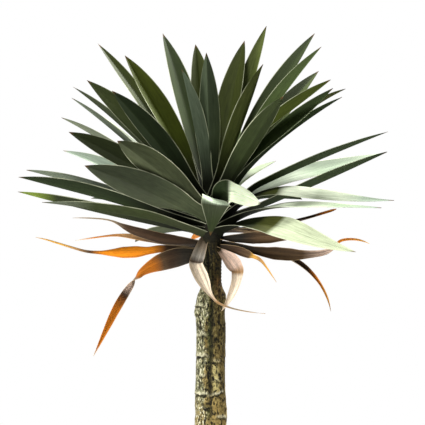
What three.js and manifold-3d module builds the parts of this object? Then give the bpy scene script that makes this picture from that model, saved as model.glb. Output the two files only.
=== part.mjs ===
// Yucca tree: one ringed trunk that ends in a rosette of sword leaves, with a skirt of dry leaves under it.
// Millimetres and degrees, +Z up, origin at the middle of the flat cut at ground level.
// Bearings turn anticlockwise seen from above: 0 points right along +X, 90 away along +Y, 270 to the front.
import * as THREE from "three";
import { mergeVertices } from "three/addons/utils/BufferGeometryUtils.js";
import Module from "manifold-3d";

// Trunk
const STEM_TOP = 1290;
const TRUNK_RADIUS = 42;
const TRUNK_TAPER = 3;
const FLARE_RADIUS = 24;
const FLARE_HEIGHT = 70;
const SHOULDER_HEIGHT = 1030;
const SHOULDER_BLEND = 24;
const NECK_RADIUS = 25.5;
const CROWN_RADIUS = 33;
const CROWN_HEIGHT = 1172;
const CROWN_BLEND = 30;
const APEX_RADIUS = 6;
const APEX_HEIGHT = 38;
const RING_PITCH = 132;
const RING_START = 100;
const RING_RELIEF = 3;
const SWAY = 3;
const SWAY_PITCH = 900;
const TRUNK_SIDES = 28;
const TRUNK_ROWS = 64;

// Swellings of the trunk: height, bearing, reach up and down, half width and relief
const SWELLINGS = [
  [970, 185, 22, 70, 8],
  [965, 355, 30, 60, -3.5],
  [700, 350, 50, 70, 5.5],
  [610, 190, 40, 80, 2.5],
  [470, 40, 45, 80, 3],
  [330, 250, 45, 90, 2.5],
];

// Green leaves
const LEAF_WIDTH = 80;
const FULL_LENGTH = 500;
const LEAF_KEEL = 6.4;
const LEAF_EDGE = 3.2;
const LEAF_FOLD = 24;
const LEAF_WIDEST = 0.54;
const LEAF_POINT = 2.3;
const LEAF_ROWS = 10;

// Dry leaves
const DRY_KEEL = 5.2;
const DRY_EDGE = 3;
const DRY_FOLD = 34;
const DRY_WIDEST = 0.36;
const DRY_POINT = 0.9;
const DRY_ROWS = 16;

// Ends of the blades: shares of the full width and thickness, and the dry leaves' width at the root
const LEAF_ROOT = 0.25;
const LEAF_TIP = 0.03;
const DRY_ROOT_WIDTH = 18;
const DRY_TIP = 0.08;
const TIP_THICKNESS = 0.3;

// Seats of the leaves on the stem
const ROOT_DEPTH = 9;
const SEAT_GAP = 0.3;
const SEAT_WIDTH = 21;
const SEAT_HEIGHT = 11.5;
const FIRST_SEAT = 10;

// Points nearer than this are one point
const WELD = 0.001;

const TRUNK_LOOK = { color: 0x8a8262, roughness: 0.9, metalness: 0 };
const LEAF_LOOK = { color: 0x46532f, roughness: 0.5, metalness: 0 };
const DRY_LOOK = { color: 0xa4662c, roughness: 0.8, metalness: 0 };

// Each row is one green leaf: bearing, rise of its chord, droop from root to tip, roll and length.
const LEAF_RINGS = {
  inner_leaf: [
    [262, 77, 6, 0, 392],
    [108, 73, 8, 0, 470],
    [63, 68, 10, 0, 515],
    [54, 65, 10, 10, 592],
    [124, 65, 10, 0, 560],
    [232, 72, 8, 0, 365],
    [325, 67, 8, 0, 390],
  ],
  upper_leaf: [
    [148, 53.6, 12, -25, 610],
    [168, 62, 12, -50, 476],
    [38, 56, 14, 10, 635],
    [4, 57, 16, 30, 520],
    [225, 41.5, 14, 25, 438],
    [198, 46, 14, 45, 462],
    [36, 50, 16, 25, 555],
    [335, 46.6, 36, 48, 464],
    [343, 46.5, 24, 50, 446],
    [24, 44, 40, -12, 550],
    [6, 45, 36, -8, 474],
    [160, 43, 14, 12, 535],
  ],
  middle_leaf: [
    [155, 40, 10, 12, 545],
    [160, 35, 16, 12, 525],
    [200, 29, 12, 50, 424],
    [148, 25, 12, -20, 540],
    [241, 21, 14, 45, 470],
    [232, 26, 10, 45, 385],
    [296, 34, 12, -20, 450],
    [63, 23, 26, 0, 444],
    [355, 28.4, 16, 5, 512],
    [20, 23.35, 36, 36, 552],
    [110, 28, 12, 0, 520],
    [80, 35, 12, 0, 530],
  ],
  lower_leaf: [
    [346, 7.6, 60, 33, 494],
    [332, 7, 44, 18, 474],
    [316, -5, 40, 54, 478],
    [300, 10.3, 110, 10, 262],
    [270, -9, 127, -15, 365],
    [233, 14, 10, 45, 493],
    [170, 18, 8, 10, 525],
    [185, 16, 6, 25, 515],
    [178, 13, -5, 15, 520],
    [205, 10, -10, 20, 465],
    [118, -2, 14, 0, 480],
    [52, 14.2, 40, -30, 430],
    [10, 23.4, -4, -8, 512],
    [95, 15, 14, 0, 500],
    [135, 12, 14, 0, 500],
  ],
};

// Each row is one dry leaf: bearing, rise and roll at its root, middle and tip, length and width.
const DRY_LEAVES = [
  [[215, 390, 365], [-60, -84, 10], [-55, 120, 95], 328, 58],
  [[14, 12, 8], [3, 9, 21], [0, 30, 60], 335, 40],
  [[188, 190, 190], [2, 25, 6], [40, 75, 85], 368, 54],
  [[168, 168, 172], [10, 14, -14], [20, 70, 85], 372, 38],
  [[338, 342, 345], [2, 2, -3], [20, 80, 85], 220, 52],
  [[100, 100, 100], [5, 0, -8], [0, 20, 60], 380, 46],
  [[58, 58, 60], [5, 0, -8], [0, 20, 60], 370, 46],
  [[348, 345, 350], [-15, 0.5, 10.5], [40, 75, 60], 422, 58],
  [[193, 193, 190], [0, -4, 20], [50, 80, 85], 462, 48],
  [[12, 10, 8], [3.5, -9.5, -82], [0, 40, 90], 395, 38],
  [[318, 318, 318], [-7, -13, -48], [20, 70, 80], 236, 38],
  [[203, 200, 200], [-2, -40, -70], [55, 100, 265], 446, 68],
  [[328, 350, 100], [-30, -88, -60], [40, 70, 100], 202, 54],
];

const { clamp, degToRad, lerp, radToDeg, smoothstep } = THREE.MathUtils;
const wasm = await Module();
wasm.setup();

// Value at s of the quadratic curve through the control values at root, middle and tip.
function along(keys, s) {
  const [root, middle, tip] = keys;
  return lerp(lerp(root, middle, s), lerp(middle, tip, s), s);
}

// Middle of the trunk at a height.
function trunkCentre(z) {
  return new THREE.Vector3(SWAY * Math.sin((2 * Math.PI * z) / SWAY_PITCH), 0, z);
}

// Bulge of the leaf scars: full just over each ring and fading up to the next.
function ringRelief(z) {
  const turn = (z - RING_START) / RING_PITCH;
  const fade = 1 - (turn - Math.floor(turn));
  return z < RING_START || z > SHOULDER_HEIGHT ? 0 : RING_RELIEF * fade * fade;
}

// Radius of the trunk: root flare, slow taper, shoulder, slim neck, crown and the cone of its tip.
function trunkRadius(z) {
  const body = TRUNK_RADIUS - TRUNK_TAPER * (z / SHOULDER_HEIGHT) + FLARE_RADIUS * Math.exp(-z / FLARE_HEIGHT);
  const neck = smoothstep(z, SHOULDER_HEIGHT - SHOULDER_BLEND, SHOULDER_HEIGHT + SHOULDER_BLEND);
  const crown = smoothstep(z, CROWN_HEIGHT - CROWN_BLEND, CROWN_HEIGHT + CROWN_BLEND);
  const tip = clamp((z - (STEM_TOP - APEX_HEIGHT)) / APEX_HEIGHT, 0, 1);
  return lerp(lerp(body + ringRelief(z), lerp(NECK_RADIUS, CROWN_RADIUS, crown), neck), APEX_RADIUS, tip);
}

// Turn from one bearing to another, the short way round.
function turned(bearing, other) {
  return ((bearing - other + 540) % 360) - 180;
}

// Relief of the swellings at a height and bearing.
function swelling(z, bearing) {
  return SWELLINGS.reduce((sum, [height, middle, reach, width, relief]) => {
    const turn = turned(bearing, middle);
    return sum + relief * Math.exp(-(((z - height) / reach) ** 2) - (turn / width) ** 2);
  }, 0);
}

// The trunk as a closed geometry, grown outwards by an allowance.
function trunkGeometry(allowance) {
  const geometry = new THREE.CylinderGeometry(1, 1, 1, TRUNK_SIDES, TRUNK_ROWS);
  geometry.rotateX(Math.PI / 2);
  const place = geometry.attributes.position;
  const point = new THREE.Vector3();
  for (let i = 0; i < place.count; i++) {
    point.fromBufferAttribute(place, i);
    const z = (point.z + 0.5) * STEM_TOP;
    const bearing = radToDeg(Math.atan2(point.y, point.x));
    const radius = trunkRadius(z) + swelling(z, bearing) + allowance;
    const centre = trunkCentre(z);
    const lift = (allowance * z) / STEM_TOP;
    place.setXYZ(i, centre.x + radius * point.x, centre.y + radius * point.y, z + lift);
  }
  return geometry;
}

// Height of the seat that lies a distance down the stem's surface from the growing tip.
function seatHeight(distance) {
  const slope = Math.hypot(CROWN_RADIUS - APEX_RADIUS, APEX_HEIGHT);
  const cone = Math.min(distance, slope);
  return STEM_TOP - (cone * APEX_HEIGHT) / slope - (distance - cone);
}

// Leaf roots pack round the stem like scales: each sits just under those already there.
function seatLeaves(leaves) {
  const seated = [];
  for (const leaf of leaves) {
    leaf.seat = FIRST_SEAT;
    for (const other of seated) {
      const turn = Math.abs(turned(leaf.bearing[0], other.bearing[0]));
      const radius = trunkRadius(seatHeight(other.seat));
      const apart = (degToRad(turn) * radius) / SEAT_WIDTH;
      const drop = apart < 1 ? other.seat + SEAT_HEIGHT * Math.sqrt(1 - apart * apart) : 0;
      leaf.seat = Math.max(leaf.seat, drop);
    }
    seated.push(leaf);
  }
  return leaves;
}

// Share of the full width at s: a narrow root, widest past the middle, then a long point.
function outline(leaf, s) {
  if (s < leaf.widest) return lerp(leaf.root, 1, Math.sin((s / leaf.widest) * (Math.PI / 2)));
  const past = (s - leaf.widest) / (1 - leaf.widest);
  return lerp(1, leaf.tip, Math.pow(past, leaf.point));
}

// Direction of the blade at s.
function bladeDirection(leaf, s) {
  const bearing = degToRad(along(leaf.bearing, s));
  const rise = degToRad(along(leaf.rise, s));
  return new THREE.Vector3(
    Math.cos(rise) * Math.cos(bearing),
    Math.cos(rise) * Math.sin(bearing),
    Math.sin(rise),
  );
}

// Points down the middle of the blade, from inside the stem to the tip.
function bladeSpine(leaf) {
  const bearing = degToRad(leaf.bearing[0]);
  const z = seatHeight(leaf.seat);
  const outward = new THREE.Vector3(Math.cos(bearing), Math.sin(bearing), 0);
  const point = trunkCentre(z).addScaledVector(outward, trunkRadius(z));
  point.addScaledVector(bladeDirection(leaf, 0), -ROOT_DEPTH);
  const spine = [point.clone()];
  for (let row = 0; row < leaf.rows; row++) {
    point.addScaledVector(bladeDirection(leaf, (row + 0.5) / leaf.rows), leaf.length / leaf.rows);
    spine.push(point.clone());
  }
  return spine;
}

// One blade, grown outwards by an allowance: a box of rows that is bent along the spine, folded up from its
// keel and drawn in to a point.
function bladeGeometry(leaf, allowance) {
  const geometry = new THREE.BoxGeometry(1, 1, 1, 2, leaf.rows, 1);
  const place = geometry.attributes.position;
  const spine = bladeSpine(leaf);
  const point = new THREE.Vector3();
  for (let i = 0; i < place.count; i++) {
    point.fromBufferAttribute(place, i);
    const s = point.y + 0.5;
    const across = -2 * point.x;
    const forward = bladeDirection(leaf, s);
    const bearing = degToRad(along(leaf.bearing, s));
    const side = new THREE.Vector3(-Math.sin(bearing), Math.cos(bearing), 0);
    side.applyAxisAngle(forward, degToRad(along(leaf.roll, s)));
    const up = new THREE.Vector3().crossVectors(forward, side);
    const half = (leaf.width / 2) * outline(leaf, s) + allowance;
    const fold = degToRad(leaf.fold);
    const body = lerp(leaf.keel, leaf.edge, Math.abs(across)) * lerp(1, TIP_THICKNESS, s * s);
    const thickness = body + 2 * allowance;
    const vertex = spine[Math.round(s * leaf.rows)].clone();
    vertex.addScaledVector(side, across * half * Math.cos(fold));
    vertex.addScaledVector(up, Math.abs(across) * half * Math.sin(fold) + point.z * thickness);
    place.setXYZ(i, vertex.x, vertex.y, vertex.z);
  }
  return geometry;
}

// A closed geometry as a solid for cutting, and back.
function solidOf(geometry) {
  const plain = new THREE.BufferGeometry();
  plain.setAttribute("position", geometry.attributes.position);
  plain.setIndex(geometry.index);
  const merged = mergeVertices(plain, WELD);
  const vertProperties = merged.attributes.position.array;
  return new wasm.Manifold(new wasm.Mesh({ numProp: 3, vertProperties, triVerts: merged.index.array }));
}

function geometryOf(solid) {
  const mesh = solid.getMesh();
  const geometry = new THREE.BufferGeometry();
  geometry.setAttribute("position", new THREE.BufferAttribute(mesh.vertProperties, 3));
  geometry.setIndex(new THREE.BufferAttribute(mesh.triVerts, 1));
  geometry.computeVertexNormals();
  return geometry;
}

function greenLeaves() {
  return Object.entries(LEAF_RINGS).flatMap(([ring, rows]) =>
    rows.map(([bearing, rise, droop, roll, length], i) => ({
      name: `${ring}_${String(i + 1).padStart(2, "0")}`,
      bearing: [bearing, bearing, bearing],
      rise: [rise + droop / 2, rise, rise - droop / 2],
      roll: [0, roll, roll],
      length,
      width: LEAF_WIDTH * Math.min(1, Math.sqrt(length / FULL_LENGTH)),
      keel: LEAF_KEEL,
      edge: LEAF_EDGE,
      fold: LEAF_FOLD,
      widest: LEAF_WIDEST,
      point: LEAF_POINT,
      root: LEAF_ROOT,
      tip: LEAF_TIP,
      rows: LEAF_ROWS,
      look: LEAF_LOOK,
    })),
  );
}

function dryLeaves() {
  return DRY_LEAVES.map(([bearing, rise, roll, length, width], i) => ({
    name: `dry_leaf_${String(i + 1).padStart(2, "0")}`,
    bearing,
    rise,
    roll,
    length,
    width,
    keel: DRY_KEEL,
    edge: DRY_EDGE,
    fold: DRY_FOLD,
    widest: DRY_WIDEST,
    point: DRY_POINT,
    root: DRY_ROOT_WIDTH / width,
    tip: DRY_TIP,
    rows: DRY_ROWS,
    look: DRY_LOOK,
  }));
}

function addPart(group, name, geometry, look) {
  const mesh = new THREE.Mesh(geometry, new THREE.MeshStandardMaterial(look));
  mesh.name = name;
  group.add(mesh);
}

// The biggest piece of a solid that cutting has parted.
function largest(solid) {
  return solid.decompose().reduce((best, piece) => (piece.volume() > best.volume() ? piece : best));
}

function buildYucca() {
  const yucca = new THREE.Group();
  addPart(yucca, "trunk", trunkGeometry(0), TRUNK_LOOK);
  let taken = solidOf(trunkGeometry(SEAT_GAP));
  const green = greenLeaves().sort((a, b) => b.rise[1] - a.rise[1]);
  for (const leaf of seatLeaves([...green, ...dryLeaves()])) {
    const blade = largest(solidOf(bladeGeometry(leaf, 0)).subtract(taken));
    addPart(yucca, leaf.name, geometryOf(blade), leaf.look);
    taken = taken.add(solidOf(bladeGeometry(leaf, SEAT_GAP)));
  }
  return yucca;
}

export default buildYucca();
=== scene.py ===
import math
from types import SimpleNamespace

import bpy
import numpy as np
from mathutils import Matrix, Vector


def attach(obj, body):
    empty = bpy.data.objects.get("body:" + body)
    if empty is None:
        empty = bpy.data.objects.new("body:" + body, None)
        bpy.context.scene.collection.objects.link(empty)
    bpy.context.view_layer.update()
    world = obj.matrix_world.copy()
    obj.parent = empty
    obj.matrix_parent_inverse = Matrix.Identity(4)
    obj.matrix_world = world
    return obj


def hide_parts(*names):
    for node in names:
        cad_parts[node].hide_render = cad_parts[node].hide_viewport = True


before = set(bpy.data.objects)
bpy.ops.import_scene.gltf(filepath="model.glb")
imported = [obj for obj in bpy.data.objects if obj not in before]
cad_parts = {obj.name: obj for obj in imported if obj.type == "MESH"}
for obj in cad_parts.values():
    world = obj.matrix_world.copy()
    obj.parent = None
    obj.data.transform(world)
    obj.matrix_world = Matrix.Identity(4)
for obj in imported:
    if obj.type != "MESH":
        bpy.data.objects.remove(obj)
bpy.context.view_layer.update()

# Yucca tree: the trunk with its bark, and every leaf written again by the part's own rule in finer rows.
# Lengths are millimetres and angles degrees, as in the part's source; meshes are scaled to metres at the end.
METRE = 0.001

# Noise: the hash of its lattice, and the middle of a cell
LATTICE_PRIMES = (374761393, 668265263, 1440662683, 1274126177)
LATTICE_MIX = 1103515245
LATTICE_HALF = 0x7FFFFF
MID_CELL = 0.5

# Trunk, as in the source
STEM_TOP = 1290
TRUNK_RADIUS = 42
TRUNK_TAPER = 3
FLARE_RADIUS = 24
FLARE_HEIGHT = 70
SHOULDER_HEIGHT = 1030
SHOULDER_BLEND = 24
NECK_RADIUS = 25.5
CROWN_RADIUS = 33
CROWN_HEIGHT = 1172
CROWN_BLEND = 30
APEX_RADIUS = 6
APEX_HEIGHT = 38
RING_PITCH = 132
RING_START = 100
RING_RELIEF = 3
SWAY = 3
SWAY_PITCH = 900
# Swellings of the trunk: height, bearing, reach up and down, half width and relief
SWELLINGS = (
    (970, 185, 22, 70, 8),
    (965, 355, 30, 60, -3.5),
    (700, 350, 50, 70, 5.5),
    (610, 190, 40, 80, 2.5),
    (470, 40, 45, 80, 3),
    (330, 250, 45, 90, 2.5),
)

# Leaves, as in the source
LEAF_WIDTH = 80
FULL_LENGTH = 500
LEAF_FOLD = 24
LEAF_WIDEST = 0.54
LEAF_POINT = 2.3
LEAF_ROOT = 0.25
DRY_WIDEST = 0.36
DRY_POINT = 0.9
DRY_ROOT_WIDTH = 18
ROOT_DEPTH = 9
SEAT_WIDTH = 21
SEAT_HEIGHT = 11.5
FIRST_SEAT = 10

# Finer leaves
LEAF_ROWS = 64
HALF_COLUMNS = (0.07, 0.17, 0.34, 0.52, 0.7, 0.84, 0.93, 0.97, 1)
LEAF_COLUMNS = (*(-column for column in reversed(HALF_COLUMNS)), 0, *HALF_COLUMNS)
LEAF_TIP = 0.012
LEAF_KEEL = 3.4
LEAF_EDGE = 0.9
LEAF_THINNING = 0.7
KEEL_ROUND = 0.05
BASE_SHARE = 0.85
BASE_END = 0.35
BASE_FOLD = 34
BASE_FOLD_END = 0.34
DRY_ROWS = 96
DRY_COLUMNS = tuple(np.linspace(-1, 1, 15))
DRY_TIP = 0.03
DRY_THICKNESS = 1.1
DRY_CURL = (0.9, 0.7, 1.1)
TIP_THICKNESS = 0.3
ROW_EASE = 1.2
# Noise along a blade: height, waves from root to tip, slice and seed
TWIST = (3, 2.5, 0.3, 5)
EDGE_WAVE = (1.4, 5, 0.5, 9)
DRY_TWIST = (8, 4, 0.3, 5)
DRY_RAGGED = ((0.05, 7, 0.5, 3), (0.03, 24, 0.5, 4))
DRY_CURL_CHANGE = (0.35, 5, 0.7, 6)
DRY_WAVE = (2.0, 8, 0.2, 7)
# Where the wave of a blade's edges sets in and is full
EDGE_WAVE_SPAN = (0.1, 0.4)
DRY_WAVE_SPAN = (0.05, 0.3)
# How far apart the two edges of a blade, and two leaves, lie in the noise
EDGE_APART = 0.37
SEED_STEP = 3.7
# Noise over a blade's face: height, waves along, waves across and seed
MOTTLE = (0.18, 3, 1.2, 12)
STREAKS = (0.5, 3, 4, 21)
# A leaf's own change: how far it goes, and its place in the lattice
LIGHTNESS = (0.16, 3, 1)
WARMTH = (0.10, 7, 5)
OWN_SEED = 2

# Bake maps: how much the sides take, two strips for a blade's caps, and two discs for the trunk's
BLADE_MAP = 0.96
CAP_MAPS = ((0.975, 0.965), (0.995, 0.985))
BARK_MAP = 0.95
CUT_MAP = (0.03, 0.976)
TOP_MAP = (0.1, 0.976)
ROUND_MAP = 0.02
# Meshes, with the order of a quad's corners that turns it outwards
BLADE_ORDER = (0, 1, 2, 3)
BARK_ORDER = (0, 3, 2, 1)
SHARP_ANGLE = 52
ATTRIBUTE_FIELDS = {"FLOAT": "value", "FLOAT_VECTOR": "vector", "FLOAT_COLOR": "color"}

# Trunk's relief, with FRONT the bearing that faces the camera
BARK_COLUMNS = 160
BARK_ROWS = 600
FRONT = 270
# Scars: how many, limits of the seeded ones, and the part of the trunk that the photograph shows
BARK_SCARS = 46
SCAR_SEED = 11
SCAR_HEIGHTS = (30, SHOULDER_HEIGHT - 20)
SCAR_WIDTHS = (22, 70)
SCAR_SLOPES = (-0.08, 0.08)
SCAR_DEPTHS = (1.4, 3.2)
SEEN_HEIGHT = 640
SEEN_TURN = 95
# A scar's ledge: wander of its line with pitch and seed, its fall, the shadow painted under it and the
# highlight painted on its pale crest
SCAR_WANDER = (4, 14, 31)
SCAR_DECAY = 13
SCAR_LIP = 0.5
SCAR_UNDERCUT = 3
SHADOW_DROP = 1.5
SHADOW_REACH = 1
SHADOW_GROWTH = 0.6
CREST_RISE = 4.5
CREST_REACH = 4
CREST_FULL = 3.5
# Groove down the front, pits and cracks: a grain is the width and height of its cells and its seed,
# and a cut is a depth and how much painted shade darkens it
GROOVE_WANDER = (7, 60, 33)
GROOVE_WIDTH = 9
GROOVE_SPAN = (640, 740)
GROOVE_CUT = (3.6, 0.8)
PIT_GRAIN = ((6, 9), 47)
PIT_SPAN = (0.42, 0.62)
PIT_CUT = (1.6, 0.85)
CRACK_GRAIN = ((5, 55), 51)
CRACK_SPAN = (-0.05, 0)
CRACK_FIELD = ((30, 50), 52)
CRACK_FIELD_SPAN = (0.1, 0.4)
CRACK_CUT = (1.2, 0.8)
# Roughness: size, seed and relief
ROUGH_SIZES = ((26, 61, 1.3), (9, 44, 0.7), (4, 39, 0.35))
NECK_ROUGH = 0.4
# Rings of the neck: pitch, relief, and wander with its pitch round the neck, its pitch up it and its seed
NECK_RING_PITCH = 9
NECK_RING_RELIEF = 0.6
NECK_RING_WANDER = (2, 40, 60, 53)

# Scars seen in the photograph: height, bearing, half width, slope in mm per degree and relief
SEEN_SCARS = (
    (850, 222, 48, 0.02, 3.6),
    (799, 238, 22, 0.0, 1.5),
    (751, 222, 46, 0.03, 4.6),
    (838, 296, 24, -0.04, 1.2),
    (786, 300, 30, 0.09, 1.2),
    (752, 300, 42, 0.2, 4.0),
    (690, 322, 34, -0.03, 3.2),
    (976, 330, 26, 0.05, 2.2),
    (985, 200, 50, 0.0, 2.4),
    (905, 226, 30, 0.04, 1.4),
)

# Colours of the bark, linear
BARK_LICHEN = (0.20, 0.195, 0.10)
BARK_BROWN = (0.105, 0.078, 0.024)
BARK_TAN = (0.33, 0.235, 0.075)
BARK_STRAW = (0.56, 0.48, 0.2)
BARK_OCHRE = (0.48, 0.39, 0.15)
# Pale chalky specks, and the painted highlight on the scars' crests
BARK_CHALK_AND_HIGHLIGHT = (0.74, 0.70, 0.48)
BARK_MOSS = (0.052, 0.068, 0.018)
# Painted shade under the scars' ledges, in the groove, pits and cracks, and in the small pits of the bark
BARK_PAINTED_SHADE = (0.010, 0.009, 0.005)
BARK_NECK = (0.042, 0.032, 0.010)
BARK_RUST = (0.13, 0.065, 0.022)
BARK_GREY = (0.10, 0.105, 0.058)
# Painted shade of the stem among the leaf bases in the crown
CORE_PAINTED_SHADE = (0.012, 0.011, 0.006)
# Patches of the bark: height, bearing, reach up and down, half width, colour and share
BARK_PATCHES = (
    (795, 291, 45, 15, BARK_STRAW, 0.9),
    (1078, 263, 50, 4, BARK_STRAW, 0.4),
    (1080, 216, 60, 34, BARK_GREY, 0.6),
    (1036, 316, 26, 30, BARK_RUST, 0.6),
    (880, 266, 130, 11, BARK_MOSS, 0.75),
    (705, 262, 18, 12, BARK_MOSS, 0.8),
    (860, 335, 160, 24, BARK_BROWN, 0.7),
    (560, 200, 90, 40, BARK_STRAW, 0.6),
    (420, 300, 80, 35, BARK_MOSS, 0.5),
    (250, 240, 120, 50, BARK_STRAW, 0.5),
    (850, 110, 120, 40, BARK_STRAW, 0.5),
    (600, 60, 100, 30, BARK_MOSS, 0.5),
    (300, 90, 110, 45, BARK_TAN, 0.6),
)
# Blotches of the bark: height, size and seed
LICHEN_BLOTCHES = ((0.35, 40, 61), (0.3, 13, 62))
LICHEN_SPAN = (0.0, 0.45)
LOW_BLOTCH = (30, 45, 63)
LOW_SPAN = (-900, -800)
LOWEST_BLOTCH = (40, 35, 64)
LOWEST_SPAN = (-760, -680)
LOWEST_SHARE = 0.6
PATCH_BLOTCH = (6, 18, 65)
MOTTLE_BLOTCHES = ((0.3, 7, 67), (0.2, 3.5, 68))
CREST_HIGHLIGHT_SHARE = 0.8
NECK_LEAD = 6
NECK_FIBRE = 1.7
NECK_FIBRE_GRAIN = ((2.5, 50), 69)
NECK_FIBRE_RANGE = (0.2, 2.6)
# Cover with pale specks, where the bark is bare and on a scar's crest, where they add to its painted
# highlight
BARE_COVER = -0.5
CREST_COVER = 1.6

# Materials: a noise is its stretch, scale, detail and roughness; a span is two values and what they become;
# a finish is the bump's strength, its distance in metres, and the specular level
VEINS = ((5, 30, 1), 1, 4, 0.62)
VEIN_TONE = (0.25, 0.75, 0.62, 1.3)
VEIN_ROUGHNESS = (0.3, 0.7, 0.58, 0.74)
LEAF_CLOUDS = ((14, 6, 1), 1, 3, 0.55)
LEAF_CLOUD_TONE = (0.3, 0.7, -0.14, 0.14)
KEEL_SHADE_SPAN = (0, 0.045, 0.4, 0)
TIP_SPAN = (0.965, 0.99, 0, 0.85)
MARGIN_SPAN = (0.9, 2.1, 0.85, 0)
MARGIN_GAPS = ((4, 1, 1), 1, 3, 0.55)
MARGIN_GAP_SPAN = (0.35, 0.6, 0.15, 1)
MARGIN_END = (0.78, 0.93, 1, 0)
LEAF_FINISH = (0.25, 0.0008, 0.08)
FIBRES = ((4, 22, 1), 1, 5, 0.65)
FIBRE_TONE = (0.25, 0.75, 0.45, 1.5)
FIBRE_ROUGHNESS = (0.3, 0.7, 0.6, 0.8)
DRY_FLECKS = ((40, 14, 1), 1, 3, 0.55)
DRY_FLECK_TONE = (0.35, 0.7, 0.12, -0.22)
DRY_MARGIN_SPAN = (0.4, 1.8, 0.5, 0)
DRY_FINISH = (0.5, 0.0012, 0.15)
BARK_GRAIN = ((1, 1, 0.5), 420, 4, 0.65)
GRAIN_TONE = (0.25, 0.75, 0.5, 1.5)
GRAIN_ROUGHNESS = (0.3, 0.7, 0.8, 0.95)
GRAIN_HEIGHT = 0.4
BARK_SPECKS = ((1, 1, 0.5), 175, 2, 0.55)
SPECK_SPAN = (0.43, 0.49, 1, 0)
SPECK_BLOTS = (0.35, 0.55, 0.4, 1)
SPECK_COVER = (0.9, 1.6, 1, 0.2)
SPECK_HEIGHT = (0.4, 0.48, 0, 0.6)
BARK_FLECKS = ((-1, 1, -0.6), 210, 2, 0.5)
FLECK_SPAN = (0.54, 0.59, 0, 1)
FLECK_COVER = (-0.5, 1, 0, 0.9)
BARK_BLOTS = ((1, 1, 1), 90, 3, 0.6)
BLOT_TONE = (0.3, 0.7, -0.25, 0.25)
BARK_FINISH = (0.7, 0.002, 0.2)
FLOOR_CLOUDS = ((1, 1, 1), 1.5, 3, 0.55)
FLOOR_ROUGHNESS = 0.9
FLOOR_FINISH = (0.05, 0.001, 0.2)

# Colours of the leaves, linear, and how far along the blade its base is darkened by painted shade
MARGIN = (0.62, 0.64, 0.44)
DRY_MARGIN = (0.66, 0.47, 0.25)
# Painted shade in the crease along the keel
KEEL_PAINTED_SHADE = (0.03, 0.04, 0.012)
# Painted shade that darkens each green leaf's base near the stem
PAINTED_SHADE_COLOUR = (0.006, 0.007, 0.003)
PAINTED_BASE_SHADE = 0.96
PAINTED_SHADE_START = 0.15
PAINTED_SHADE_REACH = 0.3
TIP_BROWN = (0.10, 0.05, 0.02)

PALE_UNDER = (0.05, 0.06, 0.024)
# Upper face and underside. Beside the leaves' own greens, mint, sage, haze, frost, pale and the near-white
# one are the upper-face green with painted sunlight, night, dusk and fern are the green with painted shade,
# and glow is the yellow-green of light through the leaf, painted
GREENS = {
    "deep": ((0.048, 0.07, 0.021), (0.034, 0.048, 0.016)),
    "stone": ((0.072, 0.088, 0.044), (0.07, 0.085, 0.042)),
    "slate": ((0.09, 0.118, 0.078), (0.09, 0.118, 0.078)),
    "shaded_night": ((0.026, 0.037, 0.012), (0.019, 0.027, 0.009)),
    "olive": ((0.066, 0.08, 0.017), (0.068, 0.08, 0.022)),
    "glow": ((0.05, 0.068, 0.006), (0.055, 0.074, 0.008)),
    "shaded_fern": ((0.03, 0.042, 0.005), (0.034, 0.046, 0.006)),
    "shaded_dusk": ((0.032, 0.043, 0.01), (0.04, 0.053, 0.015)),
    "lime": ((0.095, 0.112, 0.026), (0.095, 0.106, 0.018)),
    "mist": ((0.15, 0.18, 0.13), (0.15, 0.18, 0.13)),
    "silver": ((0.12, 0.15, 0.094), (0.066, 0.082, 0.044)),
    "moss": ((0.13, 0.19, 0.03), (0.13, 0.19, 0.03)),
    "sunlit_mint": ((0.45, 0.55, 0.39), PALE_UNDER),
    "sunlit_sage": ((0.19, 0.245, 0.15), PALE_UNDER),
    "sunlit_haze": ((0.13, 0.176, 0.12), PALE_UNDER),
    "pale": ((0.88, 0.97, 0.74), PALE_UNDER),
    "sunlit_frost": ((0.31, 0.355, 0.25), PALE_UNDER),
    "sunlit_white": ((0.99, 1.0, 0.66), (0.99, 1.0, 0.66)),
    "shale": ((0.043, 0.053, 0.027), (0.043, 0.053, 0.027)),
}
DRIES = {
    "orange": (0.74, 0.22, 0.012),
    "amber": (0.96, 0.30, 0.012),
    "rust": (0.52, 0.155, 0.012),
    "umber": (0.058, 0.033, 0.018),
    "brown": (0.105, 0.062, 0.030),
    "rose": (0.76, 0.56, 0.44),
    "ash": (0.24, 0.19, 0.13),
    # Pale cream of the dry leaves, partly their own colour and partly painted sunlight
    "cream_and_sunlight": (0.96, 0.80, 0.61),
    "grey": (0.42, 0.38, 0.32),
    "tan": (0.40, 0.22, 0.085),
    "gold": (0.68, 0.36, 0.06),
    # Near-black at the dry leaves' bases by the stem, painted shade
    "shaded_base": (0.030, 0.025, 0.018),
}

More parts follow.
